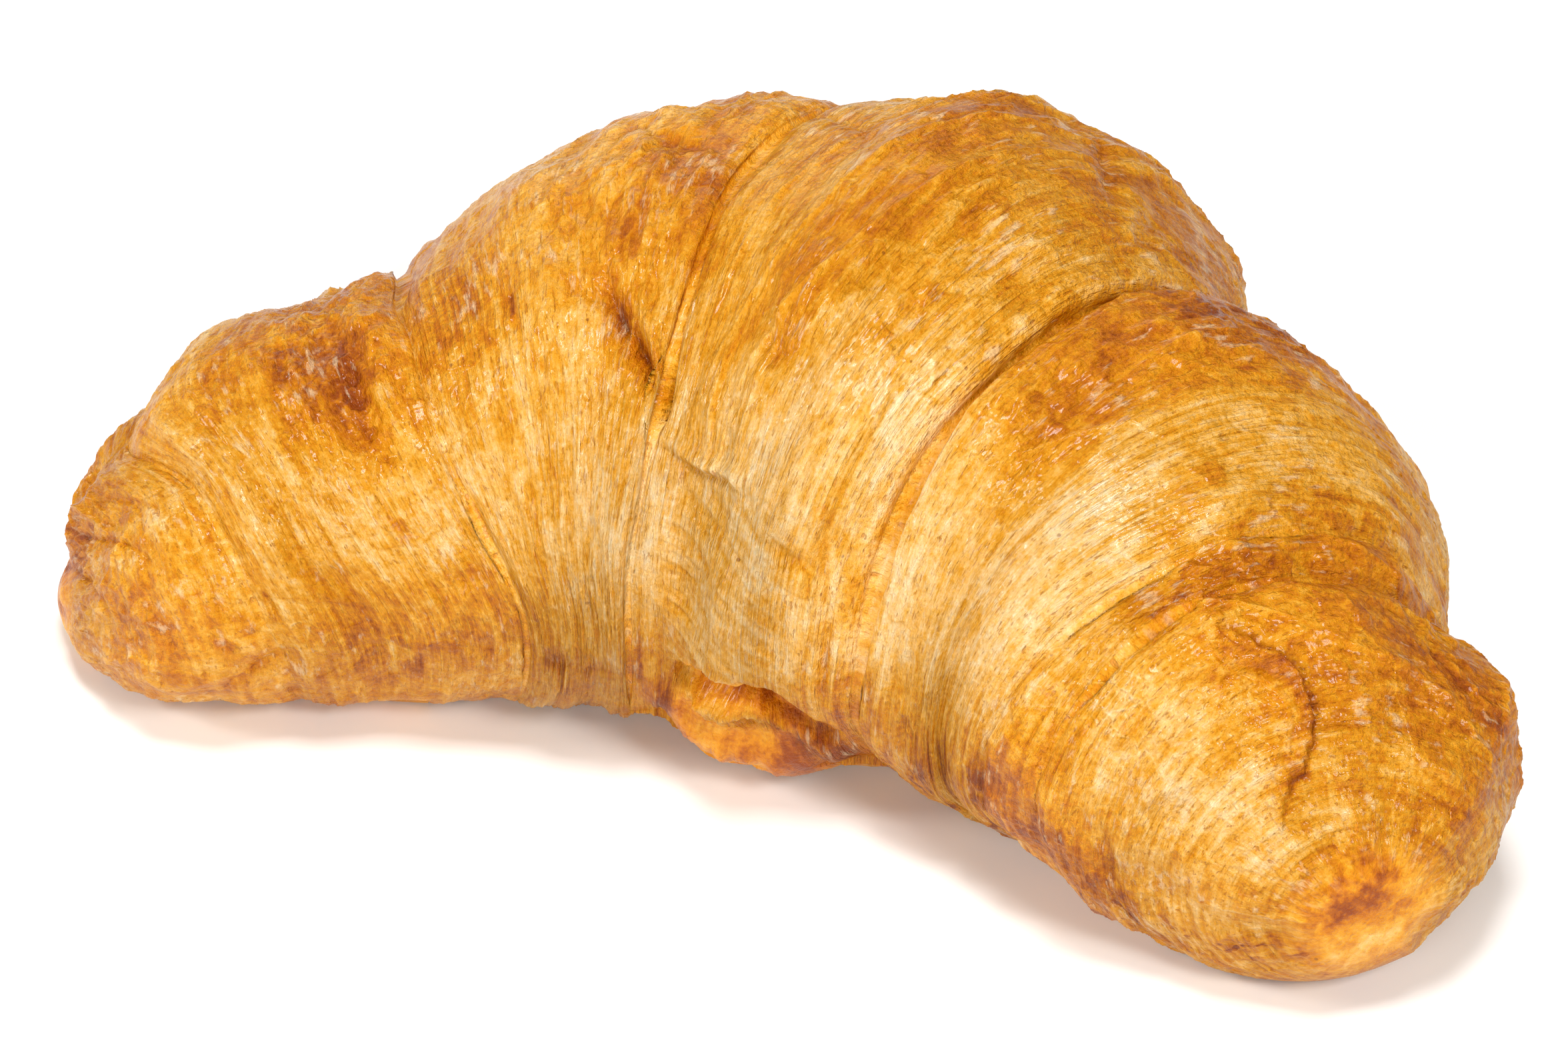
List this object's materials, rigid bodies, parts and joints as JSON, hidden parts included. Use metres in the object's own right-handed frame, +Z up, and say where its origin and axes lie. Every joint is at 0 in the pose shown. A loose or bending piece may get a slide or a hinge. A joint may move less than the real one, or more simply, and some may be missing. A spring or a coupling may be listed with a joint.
{
  "type": "croissant",
  "caption": "Butter croissant baked in one piece: a crescent of rolled turns that swell between the dough's edges, flat underneath so that it rests on a plate.",
  "frame": {"origin": "middle of the footprint's box, on the surface that the croissant rests on", "axes": "+X from the left tip to the right tip along the chord between them, +Y to the outer, convex side of the crescent, +Z up"},
  "size_m": [0.1482, 0.0775, 0.058],
  "materials": {
    "crust": "baked, egg-washed crust: semi-gloss, golden to bronze on the crowns, pale on the slopes, brown in the creases"
  },
  "bodies": {
    "root": {"croissant": "crust"}
  },
  "joints": []
}
